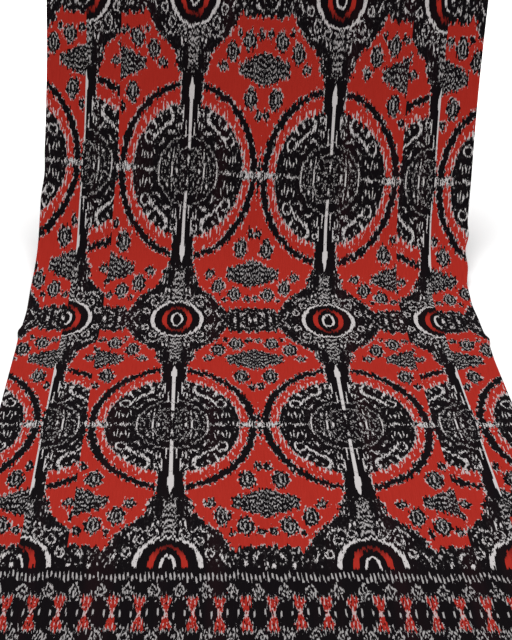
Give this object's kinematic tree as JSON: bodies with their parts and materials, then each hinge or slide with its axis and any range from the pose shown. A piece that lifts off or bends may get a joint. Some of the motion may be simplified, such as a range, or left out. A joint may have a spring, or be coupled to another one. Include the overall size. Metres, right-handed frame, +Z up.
{
  "type": "hung ikat blanket",
  "caption": "Rectangular ikat-woven blanket, hung by its top hem and swept forward in a soft bend so that it lies out flat on the floor.",
  "frame": {"origin": "on the floor, in the middle of the blanket's plan", "axes": "+X to the viewer's right along the hems, +Y away from the viewer towards the hanging part, +Z up"},
  "size_m": [1.2064, 1.719, 0.9549],
  "materials": {
    "ikat_cloth": "matt warp-faced cotton weave in red, black and off-white"
  },
  "bodies": {
    "root": {"cloth": "ikat_cloth"}
  },
  "joints": []
}
